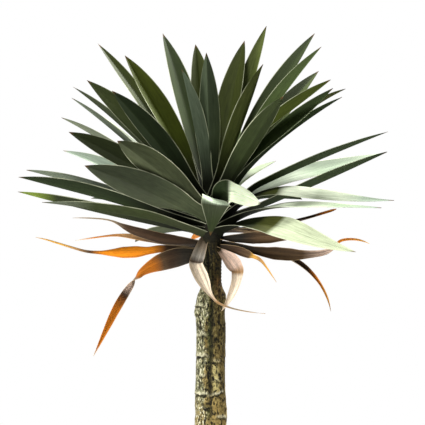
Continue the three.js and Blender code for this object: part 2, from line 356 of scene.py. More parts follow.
# Each row is one green leaf: bearing, rise of its chord, droop from root to tip, roll, length, and the colour
# unless FINE gives it.
LEAF_RINGS = {
    "inner_leaf": (
        (262, 77, 6, 0, 392, "silver"),
        (108, 73, 8, 0, 470, "shaded_dusk"),
        (63, 68, 10, 0, 515, "shaded_dusk"),
        (54, 65, 10, 10, 592, "lime"),
        (124, 65, 10, 0, 560, "shaded_dusk"),
        (232, 72, 8, 0, 365, "slate"),
        (325, 67, 8, 0, 390, "olive"),
    ),
    "upper_leaf": (
        (148, 53.6, 12, -25, 610, "shaded_fern"),
        (168, 62, 12, -50, 476, "glow"),
        (38, 56, 14, 10, 635, "shaded_dusk"),
        (4, 57, 16, 30, 520, "deep"),
        (225, 41.5, 14, 25, 438, "shaded_night"),
        (198, 46, 14, 45, 462, "deep"),
        (36, 50, 16, 25, 555, "deep"),
        (335, 46.6, 36, 48, 464, "shaded_fern"),
        (343, 46.5, 24, 50, 446, "deep"),
        (24, 44, 40, -12, 550, "olive"),
        (6, 45, 36, -8, 474, "deep"),
        (160, 43, 14, 12, 535, "silver"),
    ),
    "middle_leaf": (
        (155, 40, 10, 12, 545, "mist"),
        (160, 35, 16, 12, 525, "mist"),
        (200, 29, 12, 50, 424, "shaded_night"),
        (148, 25, 12, -20, 540),
        (241, 21, 14, 45, 470),
        (232, 26, 10, 45, 385, "olive"),
        (296, 34, 12, -20, 450),
        (63, 23, 26, 0, 444),
        (355, 28.4, 16, 5, 512, "deep"),
        (20, 23.35, 36, 36, 552),
        (110, 28, 12, 0, 520, "deep"),
        (80, 35, 12, 0, 530, "deep"),
    ),
    "lower_leaf": (
        (346, 7.6, 60, 33, 494),
        (332, 7.0, 44, 18, 474),
        (316, -5, 40, 54, 478),
        (300, 10.3, 110, 10, 262),
        (270, -9, 127, -15, 365),
        (233, 14, 10, 45, 493),
        (170, 18, 8, 10, 525, "mist"),
        (185, 16, 6, 25, 515, "shaded_night"),
        (178, 13, -5, 15, 520),
        (205, 10, -10, 20, 465),
        (118, -2, 14, 0, 480, "silver"),
        (52, 14.2, 40, -30, 430, "shaded_night"),
        (10, 23.4, -4, -8, 512, "deep"),
        (95, 15, 14, 0, 500, "deep"),
        (135, 12, 14, 0, 500, "silver"),
    ),
}

# Where a fine green leaf leaves the plain rule, with s the place along it. Curves: bearing, rise and roll are
# pairs of s and degrees, and colours of s and name, where the first holds from the root and the last to the
# tip; along some blades the colours paint sunlight, cast shadows and shade. Numbers: length, width, fold in
# degrees, widest and point of the outline, and shade, which is how much painted shade darkens the base.
FINE = {
    "inner_leaf_01": {"fold": 38},
    "inner_leaf_04": {"width": 58},
    "inner_leaf_06": {"fold": 50},
    "upper_leaf_01": {"width": 56},
    "upper_leaf_08": {"rise": ((0, 71.6), (0.2, 59.4), (0.45, 44.8), (0.7, 34.4), (1, 33.9))},
    "upper_leaf_09": {"rise": ((0, 65.6), (0.2, 54.6), (0.45, 42.5), (0.7, 39.4), (1, 42.7))},
    "upper_leaf_10": {"rise": ((0, 72), (0.2, 57.5), (0.45, 43), (0.7, 36.2), (1, 25.9)), "length": 556},
    "upper_leaf_11": {"rise": ((0, 71.2), (0.2, 56.9), (0.45, 41.9), (0.7, 36.4), (1, 31.8))},
    "middle_leaf_04": {"colours": ((0, "shaded_night"), (0.5, "silver"), (0.75, "mist"))},
    "middle_leaf_05": {"shade": 0.2, "colours": ((0.75, "stone"), (1, "shale"))},
    "middle_leaf_07": {"width": 66, "fold": 34, "colours": ((0.25, "shaded_night"), (0.5, "deep"))},
    "middle_leaf_08": {
        "rise": ((0, 44), (0.25, 30.6), (0.5, 20), (0.75, 17.9), (1, 18)),
        "width": 50,
        "colours": ((0.55, "shaded_night"), (0.66, "sunlit_sage")),
    },
    "middle_leaf_09": {"rise": ((0, 46), (0.2, 42), (0.3, 25), (1, 21))},
    "middle_leaf_10": {
        "rise": ((0, 56.9), (0.12, 45.5), (0.25, 33.4), (0.5, 16.1), (0.75, 14.1), (1, 15.4)),
        "length": 564, "point": 1.3, "fold": 8,
        "colours": ((0, "sunlit_haze"), (0.3, "sunlit_frost"), (0.5, "sunlit_frost"), (0.6, "sunlit_sage"), (0.75, "sunlit_sage"),
                    (1, "sunlit_frost")),
    },
    # Dark base with painted shade, an olive stretch of painted cast shadow, then the upper face with painted
    # sunlight
    "lower_leaf_01": {
        "rise": ((0, 69.6), (0.18, 35.2), (0.28, 17.9), (0.5, -7), (0.75, -6.4), (1, 0.6)),
        "length": 503, "widest": 0.48, "point": 1.2, "fold": 8,
        "colours": ((0.28, "shaded_night"), (0.32, "olive"), (0.38, "olive"), (0.42, "pale"), (0.5, "pale"),
                    (0.6, "sunlit_frost"), (0.72, "sunlit_frost"), (0.84, "sunlit_haze")),
    },
    "lower_leaf_02": {
        "rise": ((0, 40.5), (0.14, 26.5), (0.25, 16), (0.5, -0.8), (0.75, -2.5), (1, -3)),
        "widest": 0.48, "point": 1.2, "fold": 10,
        "colours": ((0.26, "shaded_night"), (0.31, "pale"), (0.42, "pale"), (0.5, "sunlit_frost"), (0.65, "sunlit_frost"),
                    (0.75, "sunlit_sage"), (1, "sunlit_haze")),
    },
    # Dark base with painted shade, an olive stretch of painted cast shadow, then the upper face with painted
    # sunlight
    "lower_leaf_03": {
        "rise": ((0, 30.1), (0.12, 17), (0.28, 0.2), (0.45, -12.5), (0.65, -17.5), (0.85, -14.9),
                 (1, -11.7)),
        "widest": 0.48, "point": 1.2, "fold": 5,
        "colours": ((0.3, "shaded_night"), (0.34, "olive"), (0.44, "olive"), (0.46, "sunlit_mint")),
    },
    # The rising part dark with painted shade, the bent-over top with painted sunlight
    "lower_leaf_04": {
        "bearing": ((0, 278), (0.5, 280), (0.6, 362), (1, 372)),
        "rise": ((0, 36), (0.2, 25), (0.5, 14), (0.56, 6), (0.62, -8), (0.7, -22), (1, -25)),
        "roll": ((0, 0), (0.46, -10), (0.58, -95), (0.66, -124), (1, -130)),
        "length": 220, "width": 62, "widest": 0.6, "point": 4, "fold": 6,
        "colours": ((0.58, "shaded_night"), (0.62, "sunlit_white")),
    },
    # The top with painted sunlight, the hanging part darker with painted shade
    "lower_leaf_05": {
        "bearing": ((0, 272), (0.72, 273), (0.78, 250), (1, 245)),
        "rise": ((0, 50), (0.22, 30), (0.3, 0), (0.735, -16), (0.775, -62), (1, -68)),
        "roll": ((0, 0), (0.4, -18), (0.7, -20), (0.8, -4), (1, -2)),
        "length": 352, "width": 76, "widest": 0.75, "point": 1.05, "fold": 6,
        "colours": ((0, "shaded_night"), (0.3, "sunlit_mint"), (0.735, "sunlit_mint"), (0.76, "shale"), (0.9, "shaded_night")),
    },
    "lower_leaf_06": {
        "width": 98, "widest": 0.4, "fold": 12, "shade": 0.2,
        "colours": ((0.25, "stone"), (0.5, "shale")),
    },
    "lower_leaf_09": {"colours": ((0.79, "shaded_night"), (0.9, "moss"))},
    "lower_leaf_10": {
        "rise": ((0, 21.6), (0.25, 14.4), (0.5, 8.4), (0.75, 6.8), (1, 4.6)),
        "width": 62, "widest": 0.4, "shade": 0.45,
        "colours": ((0, "stone"), (0.4, "deep"), (0.7, "deep"), (0.9, "mist")),
    },
    "lower_leaf_12": {"rise": ((0, 47.6), (0.25, 26.3), (0.5, 10), (0.75, 2.1), (1, -3.5)), "length": 438},
}

# Dry leaves: bearing, rise and roll are three values at root, middle and tip, or pairs of s and degrees.
# Share is pairs of s and part of the full width, in place of the plain outline. Colours are as above.
DRY_LEAVES = {
    "dry_leaf_01": {
        "length": 328, "width": 58,
        "bearing": ((0, 215), (0.2, 215), (0.26, 325), (0.5, 340), (0.7, 350), (1, 355)),
        "rise": ((0, -38), (0.06, -62), (0.21, -70), (0.27, -62), (0.43, -62), (0.5, -55), (0.56, -47),
                 (0.66, -19), (1, -5)),
        "roll": ((0, -40), (0.1, -60), (0.2, -57), (0.26, 57), (0.5, 70), (0.7, 120), (1, 160)),
        "share": ((0, 0.45), (0.1, 0.62), (0.19, 0.72), (0.24, 0.74), (0.33, 0.74), (0.42, 0.58),
                  (0.5, 0.28), (0.56, 0.15), (0.65, 0.12), (0.85, 0.08), (1, 0.02)),
        "colours": ((0, "umber"), (0.08, "ash"), (0.17, "grey"), (0.22, "umber"), (0.235, "cream_and_sunlight"),
                    (0.5, "cream_and_sunlight"), (0.6, "tan"), (0.75, "ash"), (1, "tan")),
    },
    "dry_leaf_02": {
        "bearing": (14, 12, 8), "rise": (3, 9, 21), "roll": (0, 30, 60), "length": 335, "width": 40,
        "share": ((0, 0.45), (0.3, 0.55), (0.6, 0.42), (0.75, 0.36), (0.88, 0.3), (0.96, 0.2), (1, 0.05)),
        "colours": ((0, "shaded_base"), (0.5, "umber"), (0.8, "umber"), (0.92, "orange")),
    },
    "dry_leaf_03": {
        "bearing": (188, 190, 190), "length": 368, "width": 54,
        "rise": ((0, 7), (0.3, 8), (0.37, 15), (0.5, 17), (0.6, 25), (0.66, 26), (0.73, 14), (0.8, 5),
                 (1, -2)),
        "roll": ((0, 40), (0.3, 75), (1, 85)),
        "share": ((0, 0.33), (0.15, 0.5), (0.32, 0.62), (0.42, 0.6), (0.52, 0.5), (0.6, 0.34), (0.66, 0.18),
                  (0.73, 0.1), (0.9, 0.07), (1, 0.02)),
        "colours": ((0, "shaded_base"), (0.2, "umber"), (0.6, "umber"), (0.75, "ash")),
    },
    "dry_leaf_04": {
        "bearing": (168, 168, 172), "length": 372, "width": 38,
        "rise": ((0, 10), (0.55, 9), (0.66, 2), (0.75, -6), (1, -9)),
        "roll": ((0, 20), (0.4, 70), (1, 85)),
        "share": ((0, 0.45), (0.3, 0.7), (0.5, 0.55), (0.6, 0.38), (0.66, 0.27), (0.75, 0.17), (0.9, 0.1),
                  (1, 0.02)),
        "colours": ((0, "shaded_base"), (0.4, "umber"), (0.62, "tan"), (0.85, "orange"), (1, "cream_and_sunlight")),
    },
    "dry_leaf_05": {
        "bearing": (338, 342, 345), "rise": (2, 2, -3), "length": 220, "width": 52,
        "roll": ((0, 20), (0.3, 80), (1, 85)),
        "share": ((0, 0.35), (0.25, 0.5), (0.5, 0.72), (0.63, 0.68), (0.78, 0.42), (1, 0.02)),
        "colours": ((0.3, "shaded_base"), (0.5, "brown")),
    },
    "dry_leaf_06": {
        "bearing": (100, 100, 100), "rise": (5, 0, -8), "roll": (0, 20, 60), "length": 380, "width": 46,
        "colours": ((0, "shaded_base"), (0.4, "tan"), (0.8, "orange"), (1, "cream_and_sunlight")),
    },
    "dry_leaf_07": {
        "bearing": (58, 58, 60), "rise": (5, 0, -8), "roll": (0, 20, 60), "length": 370, "width": 46,
        "colours": ((0, "shaded_base"), (0.3, "umber"), (0.7, "tan"), (1, "orange")),
    },
    "dry_leaf_08": {
        "bearing": (348, 345, 350), "length": 422, "width": 58,
        "rise": ((0, -11), (0.2, -13), (0.32, -7), (0.47, -4), (0.55, 2), (0.64, 7), (0.7, 18), (0.75, 40),
                 (0.79, 50), (0.83, 12), (0.92, -8), (1, -26)),
        "roll": ((0, 40), (0.2, 75), (0.7, 80), (1, 60)),
        "share": ((0, 0.31), (0.12, 0.38), (0.235, 0.42), (0.316, 0.54), (0.38, 0.64), (0.47, 0.62),
                  (0.53, 0.52), (0.63, 0.36), (0.7, 0.28), (0.75, 0.15), (0.85, 0.15), (0.93, 0.12),
                  (1, 0.02)),
        "colours": ((0.18, "shaded_base"), (0.32, "brown"), (0.55, "brown"), (0.72, "rose"), (0.8, "orange"),
                    (1, "gold")),
    },
    "dry_leaf_09": {
        "bearing": (193, 193, 190), "length": 462, "width": 48,
        "rise": ((0, 5), (0.25, 2), (0.3, -9), (0.42, -4), (0.55, 0), (0.66, 4), (0.75, 16), (0.9, 17),
                 (1, 9)),
        "roll": ((0, 50), (0.3, 80), (1, 85)),
        "share": ((0, 0.38), (0.2, 0.5), (0.33, 0.48), (0.42, 0.7), (0.48, 0.68), (0.55, 0.46), (0.63, 0.22),
                  (0.7, 0.18), (0.87, 0.15), (0.95, 0.09), (1, 0.02)),
        "colours": ((0, "shaded_base"), (0.24, "umber"), (0.32, "amber"), (0.6, "amber"), (0.68, "umber"),
                    (0.76, "tan"), (0.85, "gold")),
    },
    "dry_leaf_10": {
        "bearing": (12, 10, 8), "rise": (3.5, -9.5, -82), "roll": (0, 40, 90), "length": 395, "width": 38,
        "share": ((0, 0.45), (0.3, 0.6), (0.55, 0.66), (0.63, 0.6), (0.7, 0.44), (0.78, 0.28), (0.9, 0.18),
                  (1, 0.03)),
        "colours": ((0, "shaded_base"), (0.3, "umber"), (0.66, "umber"), (0.75, "orange"), (1, "gold")),
    },
    "dry_leaf_11": {
        "bearing": (318, 318, 318), "length": 236, "width": 38,
        "rise": ((0, -6), (0.2, -10), (0.4, -16), (0.6, -18), (0.68, -34), (0.76, -48), (1, -52)),
        "roll": ((0, 20), (0.3, 70), (1, 80)),
        "share": ((0, 0.45), (0.2, 0.52), (0.385, 0.68), (0.5, 0.6), (0.56, 0.33), (0.66, 0.28),
                  (0.76, 0.18), (0.9, 0.1), (1, 0.02)),
        "colours": ((0, "shaded_base"), (0.3, "umber"), (0.5, "brown"), (0.57, "gold"), (0.66, "tan"),
                    (0.8, "gold")),
    },
    "dry_leaf_12": {
        "bearing": (203, 200, 200), "length": 446, "width": 68,
        "rise": ((0, 0), (0.16, -8), (0.36, -25), (0.46, -38), (0.51, -55), (0.63, -58), (0.8, -65),
                 (1, -64)),
        "roll": ((0, 55), (0.25, 85), (0.42, 100), (0.48, 180), (0.54, 250), (1, 265)),
        "share": ((0, 0.32), (0.1, 0.68), (0.2, 0.84), (0.3, 0.74), (0.38, 0.5), (0.44, 0.32), (0.49, 0.27),
                  (0.55, 0.36), (0.64, 0.42), (0.74, 0.38), (0.85, 0.25), (0.93, 0.14), (1, 0.02)),
        "colours": ((0.15, "shaded_base"), (0.24, "umber"), (0.28, "brown"), (0.345, "rust"), (0.46, "rust"),
                    (0.49, "ash"), (0.54, "rose"), (0.6, "umber"), (0.7, "orange"), (0.93, "orange"),
                    (1, "cream_and_sunlight")),
    },
    "dry_leaf_13": {
        "length": 202, "width": 54,
        "bearing": ((0, 328), (0.4, 325), (0.49, 205), (1, 190)),
        "rise": ((0, -28), (0.2, -42), (0.38, -58), (0.48, -82), (0.62, -72), (0.8, -62), (1, -52)),
        "roll": ((0, 40), (0.3, 55), (0.4, 50), (0.49, -75), (1, -80)),
        "share": ((0, 0.33), (0.1, 0.6), (0.2, 0.8), (0.32, 0.88), (0.4, 0.78), (0.47, 0.65), (0.6, 0.57),
                  (0.75, 0.42), (0.9, 0.2), (1, 0.02)),
        "colours": ((0, "umber"), (0.1, "rose"), (0.36, "rose"), (0.44, "tan"), (0.49, "cream_and_sunlight")),
    },
}

# Camera and studio, in metres
EYE = (0.004, -3.2955, 1.0650)
LOOK_UP = 3
LENS = 103.5
SENSOR = 36
# Lights: name, place, size, power in watts and spread in degrees, all aimed at the crown
LIGHTS = (
    ("key", (2.0, 3.1, 7.6), 2.0, 190, 50),
    ("fill", (-3.0, -2.2, 1.2), 2.2, 112, 180),
    ("top", (-1.3, -2.3, 5.0), 1.5, 150, 180),
)
CROWN_MIDDLE = (0, 0, 1.3)
WORLD_LIGHT = 0.15
FLOOR_RADIUS = 2.4
FLOOR_SIDES = 96
FLOOR_COLOUR = (0.62, 0.615, 0.6)
FLOOR_DIM = 0.97


def lerp(a, b, t):
    a, b = np.asarray(a), np.asarray(b)
    return a + (b - a) * t


def smoothstep(x, low, high):
    t = np.clip((x - low) / (high - low), 0, 1)
    return t * t * (3 - 2 * t)


def bell(x, reach):
    return np.exp(-(x / reach) ** 2)


def turned(bearing, other):
    """Degrees from one bearing to another, between half a turn back and half a turn on."""
    return (bearing - other + 180) % 360 - 180


def along(keys, s):
    root, middle, tip = keys
    return lerp(lerp(root, middle, s), lerp(middle, tip, s), s)


def keyed(pairs, s):
    """Smooth curve at s through pairs of s and value, which overshoots none of them."""
    at, values = (np.array(v, float) for v in zip(*pairs))
    rates = np.diff(values) / np.diff(at)
    before, after = rates[:-1], rates[1:]
    turns = before * after <= 0
    inner = np.where(turns, 0, 2 * before * after / np.where(turns, 1, before + after))
    slopes = np.concatenate([rates[:1], inner, rates[-1:]])
    i = np.clip(np.searchsorted(at, s) - 1, 0, len(at) - 2)
    step = at[i + 1] - at[i]
    t = (s - at[i]) / step
    ease = t * t * (3 - 2 * t)
    leave = t * (1 - t) ** 2 * step * slopes[i]
    arrive = t * t * (t - 1) * step * slopes[i + 1]
    return lerp(values[i], values[i + 1], ease) + leave + arrive


def course(leaf, key, s):
    """Bearing, rise or roll of a leaf at s."""
    keys = getattr(leaf, key)
    return keyed(keys, s) if isinstance(keys[0], tuple) else along(keys, s)


def lattice(x, y, z, seed):
    """A number from -1 to 1 for each point of a lattice."""
    word = sum(part * prime for part, prime in zip((x, y, z, seed), LATTICE_PRIMES))
    word = (word ^ (word >> 13)) * LATTICE_MIX
    word = (word ^ (word >> 16)) & (2 * LATTICE_HALF + 1)
    return word / LATTICE_HALF - 1


def noise(x, y, z, seed):
    """Smooth noise from -1 to 1 at points given in units of the lattice."""
    x, y, z = np.broadcast_arrays(*(np.asarray(v, float) for v in (x, y, z)))
    cells = [np.floor(v).astype(np.int64) for v in (x, y, z)]
    parts = [v - c for v, c in zip((x, y, z), cells)]
    fades = [p * p * (3 - 2 * p) for p in parts]
    total = np.zeros(x.shape)
    for corner in range(8):
        steps = [(corner >> k) & 1 for k in range(3)]
        weight = np.ones(x.shape)
        for fade, step in zip(fades, steps):
            weight = weight * (fade if step else 1 - fade)
        total += weight * lattice(*(c + step for c, step in zip(cells, steps)), seed)
    return total


def trunk_centre(z):
    return SWAY * np.sin(2 * np.pi * z / SWAY_PITCH)


def ring_relief(z):
    turn = (z - RING_START) / RING_PITCH
    fade = 1 - (turn - np.floor(turn))
    return np.where((z < RING_START) | (z > SHOULDER_HEIGHT), 0, RING_RELIEF * fade * fade)


def trunk_radius(z, rings=True):
    body = TRUNK_RADIUS - TRUNK_TAPER * z / SHOULDER_HEIGHT + FLARE_RADIUS * np.exp(-z / FLARE_HEIGHT)
    body = body + (ring_relief(z) if rings else 0)
    neck = smoothstep(z, SHOULDER_HEIGHT - SHOULDER_BLEND, SHOULDER_HEIGHT + SHOULDER_BLEND)
    crown = smoothstep(z, CROWN_HEIGHT - CROWN_BLEND, CROWN_HEIGHT + CROWN_BLEND)
    tip = np.clip((z - (STEM_TOP - APEX_HEIGHT)) / APEX_HEIGHT, 0, 1)
    return lerp(lerp(body, lerp(NECK_RADIUS, CROWN_RADIUS, crown), neck), APEX_RADIUS, tip)


def seat_height(distance):
    """Height of a seat at a distance down the stem from its tip."""
    slope = math.hypot(CROWN_RADIUS - APEX_RADIUS, APEX_HEIGHT)
    cone = min(distance, slope)
    return STEM_TOP - cone * APEX_HEIGHT / slope - (distance - cone)


def seat_leaves(waiting):
    """Gives each leaf the first free seat under those seated before it."""
    seated = []
    for leaf in waiting:
        leaf.seat = FIRST_SEAT
        for other in seated:
            turn = abs(turned(leaf.root, other.root))
            radius = float(trunk_radius(seat_height(other.seat)))
            apart = math.radians(turn) * radius / SEAT_WIDTH
            if apart < 1:
                leaf.seat = max(leaf.seat, other.seat + SEAT_HEIGHT * math.sqrt(1 - apart * apart))
        seated.append(leaf)


def outline(s, root, tip, widest, point):
    """Share of the full width at s."""
    rising = lerp(root, 1, np.sin(np.clip(s / widest, 0, 1) * np.pi / 2))
    past = np.clip((s - widest) / (1 - widest), 0, 1)
    return np.where(s < widest, rising, lerp(1, tip, past ** point))


def direction(leaf, s):
    bearing = np.radians(course(leaf, "bearing", s))
    rise = np.radians(course(leaf, "rise", s))
    return np.stack([np.cos(rise) * np.cos(bearing), np.cos(rise) * np.sin(bearing), np.sin(rise)], -1)


def spine(leaf, s):
    """Points down the middle of the blade at s, from inside the stem to the tip."""
    bearing = math.radians(leaf.root)
    z = seat_height(leaf.seat)
    radius = float(trunk_radius(z))
    start = np.array([trunk_centre(z) + radius * math.cos(bearing), radius * math.sin(bearing), z])
    start = start - direction(leaf, 0.0) * ROOT_DEPTH
    steps = np.diff(s)[:, None] * leaf.length * direction(leaf, (s[1:] + s[:-1]) / 2)
    return start + np.concatenate([np.zeros((1, 3)), np.cumsum(steps, 0)])


def axes(leaf, s, roll):
    """Side and up of the blade at s, turned about its direction by the roll."""
    forward = direction(leaf, s)
    bearing = np.radians(course(leaf, "bearing", s))
    flat = np.stack([-np.sin(bearing), np.cos(bearing), np.zeros_like(bearing)], -1)
    rise = np.cross(forward, flat)
    turn = np.radians(roll)[:, None]
    side = flat * np.cos(turn) + rise * np.sin(turn)
    return side, np.cross(forward, side)


def surface(leaf, s, side, up, x, z):
    """Points x to the side of the spine and z up from it."""
    return spine(leaf, s)[:, None, :] + side[:, None, :] * x[..., None] + up[:, None, :] * z[..., None]


def wave(form, s, place):
    """Noise along a blade."""
    height, waves, cut, seed = form
    return height * noise(s * waves, place, cut, seed)


def blade_grid(leaf, rows, columns, twist):
    """Places along and across a leaf, the place of its edges in the noise, and its side and up."""
    s = 1 - (1 - np.linspace(0, 1, rows + 1)) ** ROW_EASE
    across = np.array(columns)[None, :]
    edge = leaf.seed + EDGE_APART * np.sign(across)
    roll = course(leaf, "roll", s) + s * wave(twist, s, leaf.seed)
    return s, across, edge, *axes(leaf, s, roll)


def green_blade(leaf):
    """Places along and across a green leaf, its middle surface, half thickness, half width and up there."""
    s, across, edge, side, up = blade_grid(leaf, LEAF_ROWS, LEAF_COLUMNS, TWIST)
    row = s[:, None]
    share = outline(s, LEAF_ROOT, LEAF_TIP, leaf.widest, leaf.point)
    share = np.maximum(share, lerp(BASE_SHARE, share, smoothstep(s, 0, BASE_END)))
    half = (leaf.width / 2 * share)[:, None]
    fold = np.radians(lerp(BASE_FOLD, leaf.fold, smoothstep(s, 0, BASE_FOLD_END)))[:, None]
    crest = math.hypot(1, KEEL_ROUND) - KEEL_ROUND
    height = (np.hypot(across, KEEL_ROUND) - KEEL_ROUND) / crest
    x = across * half * np.cos(fold)
    z = height * half * np.sin(fold)
    z = z + wave(EDGE_WAVE, row, edge) * across ** 2 * smoothstep(row, *EDGE_WAVE_SPAN)
    thickness = lerp(LEAF_KEEL, LEAF_EDGE, np.abs(across) ** LEAF_THINNING) * lerp(1, TIP_THICKNESS, row ** 2)
    return s, across, surface(leaf, s, side, up, x, z), thickness / 2, half, up


def dry_blade(leaf):
    """The same for a dry leaf, curled in and ragged at the edges."""
    s, across, edge, side, up = blade_grid(leaf, DRY_ROWS, DRY_COLUMNS, DRY_TWIST)
    row = s[:, None]
    share = outline(s, DRY_ROOT_WIDTH / leaf.width, DRY_TIP, DRY_WIDEST, DRY_POINT)
    if hasattr(leaf, "share"):
        share = np.maximum(keyed(leaf.share, s), DRY_TIP / 2)
    half = (leaf.width / 2 * share)[:, None]
    ragged = 1 + sum(wave(form, row, edge) for form in DRY_RAGGED)
    curl = (along(DRY_CURL, s) * (1 + wave(DRY_CURL_CHANGE, s, leaf.seed)))[:, None]
    x = half * ragged * np.sin(across * curl) / curl
    z = half * (1 - np.cos(across * curl)) / curl
    z = z + wave(DRY_WAVE, row, edge) * across ** 2 * smoothstep(row, *DRY_WAVE_SPAN)
    thickness = DRY_THICKNESS * lerp(1, TIP_THICKNESS, row ** 2) * np.ones_like(across)
    return s, across, surface(leaf, s, side, up, x, z), thickness / 2, half, up


def blade_loops(middle, thin, up):
    """Rows of closed loops: the upper face from edge to edge, then the underside back."""
    lift = up[:, None, :] * thin[..., None]
    return np.concatenate([middle + lift, (middle - lift)[:, ::-1]], 1)


def tube(rows, size, height, order):
    """Quads between rows of loops, and where their corners lie in the bake map, up to the given height."""
    faces = []
    maps = []
    for i in range(rows - 1):
        low, high = height * i / (rows - 1), height * (i + 1) / (rows - 1)
        here, above = i * size, (i + 1) * size
        for k in range(size):
            n = (k + 1) % size
            left, right = k / size, (k + 1) / size
            corners = (here + k, above + k, above + n, here + n)
            places = ((left, low), (left, high), (right, high), (right, low))
            faces.append(tuple(corners[c] for c in order))
            maps += [places[c] for c in order]
    return faces, maps


def blade_faces(rows, size):
    """Quads of a blade's loops and of its two end caps, and where their corners lie in the bake map."""
    faces, maps = tube(rows, size, BLADE_MAP, BLADE_ORDER)
    half = size // 2
    last = (rows - 1) * size
    for k in range(half - 1):
        left, right = k / half, (k + 1) / half
        cap = (k, k + 1, size - 2 - k, size - 1 - k)
        faces += [cap, tuple(last + corner for corner in reversed(cap))]
        for high, low in CAP_MAPS:
            maps += [(left, high), (right, high), (right, low), (left, low)]
    return faces, maps


def add_object(name, data):
    obj = bpy.data.objects.new(name, data)
    bpy.context.scene.collection.objects.link(obj)
    return obj


def make_mesh(name, points, faces, maps, attributes):
    """A mesh object in metres with its bake map and its attributes at the points."""
    mesh = bpy.data.meshes.new(name)
    mesh.from_pydata((np.reshape(points, (-1, 3)) * METRE).tolist(), [], faces)
    layer = mesh.uv_layers.new(name="OFBake")
    layer.data.foreach_set("uv", np.array(maps, float).ravel())
    for key, (kind, values) in attributes.items():
        field = ATTRIBUTE_FIELDS[kind]
        mesh.attributes.new(key, kind, "POINT").data.foreach_set(field, np.asarray(values, float).ravel())
    mesh.validate()
    mesh.shade_smooth()
    mesh.set_sharp_from_angle(angle=math.radians(SHARP_ANGLE))
    return add_object(name, mesh)


def both_faces(values):
    """Values of the columns of one face, dealt to the upper face and back along the underside."""
    return np.concatenate([values, values[:, ::-1]], 1)


def with_alpha(colours):
    return np.concatenate([colours, np.ones(colours.shape[:-1] + (1,))], -1)


def add_piece(obj, node, material):
    obj.data.materials.append(material)
    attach(obj, "root")
    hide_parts(node)


def dealt(pairs, shades, s):
    """Colours at s between those named in pairs of s and name."""
    at, names = zip(*pairs)
    channels = zip(*(shades[name] for name in names))
    return np.stack([np.interp(s, at, channel) for channel in channels], -1)[:, None, :]


def patches(form, leaf, s, across):
    """Noise over a blade's face."""
    height, waves, bands, seed = form
    return height * noise(s[:, None] * waves, across * bands, leaf.seed, seed)


def own_change(form, leaf):
    """A leaf's own change round 1."""
    reach, y, z = form
    return 1 + reach * lattice(np.array([leaf.index]), y, z, OWN_SEED)[0]


def add_blade(leaf, blade, colours, material):
    """A leaf's piece, whose points hold their place on the blade, their mm to its edge and their colour."""
    s, across, middle, thin, half, up = blade
    loops = blade_loops(middle, thin, up)
    faces, maps = blade_faces(len(s), loops.shape[1])
    place = np.stack(np.broadcast_arrays(s[:, None], across, leaf.seed), -1)
    attributes = {
        "place": ("FLOAT_VECTOR", both_faces(place)),
        "edge": ("FLOAT", both_faces((1 - np.abs(across)) * half)),
        "tint": ("FLOAT_COLOR", with_alpha(colours)),
    }
    obj = make_mesh(leaf.name + "_blade", loops, faces, maps, attributes)
    add_piece(obj, leaf.name, material)


def add_green(leaf, material):
    blade = green_blade(leaf)
    s, across = blade[:2]
    faces = ({name: pair[k] for name, pair in GREENS.items()} for k in range(2))
    upper, under = (dealt(leaf.colours, shades, s) for shades in faces)
    warmth = own_change(WARMTH, leaf)
    change = own_change(LIGHTNESS, leaf) * (1 + patches(MOTTLE, leaf, s, across))
    face = change[..., None] * np.array([warmth, 1, 2 - warmth])
    colours = np.concatenate([face * upper, (face * under)[:, ::-1]], 1)
    # Painted shade darkens the blade towards its base at the stem
    shade = leaf.shade * (1 - np.clip((s - PAINTED_SHADE_START) / PAINTED_SHADE_REACH, 0, 1))
    colours = lerp(colours, PAINTED_SHADE_COLOUR, shade[:, None, None])
    add_blade(leaf, blade, colours, material)


def add_dry(leaf, material):
    blade = dry_blade(leaf)
    s, across = blade[:2]
    streaks = 1 + patches(STREAKS, leaf, s, across)
    colours = dealt(leaf.colours, DRIES, s) * streaks[..., None]
    add_blade(leaf, blade, both_faces(colours), material)


def bark_scars():
    """The scars seen in the photograph, and seeded ones where it doesn't show the trunk."""
    rng = np.random.default_rng(SCAR_SEED)
    scars = list(SEEN_SCARS)
    while len(scars) < BARK_SCARS:
        height = rng.uniform(*SCAR_HEIGHTS)
        bearing = rng.uniform(0, 360)
        seen = height > SEEN_HEIGHT and abs(turned(bearing, FRONT)) < SEEN_TURN
        if not seen:
            form = [rng.uniform(*limits) for limits in (SCAR_WIDTHS, SCAR_SLOPES, SCAR_DEPTHS)]
            scars.append((height, bearing, *form))
    return scars


def grain(at, sizes, seed):
    """Noise in the bark with cells of the given width and height."""
    x, y, z = at
    wide, tall = sizes
    return noise(x / wide, y / wide, z / tall, seed)


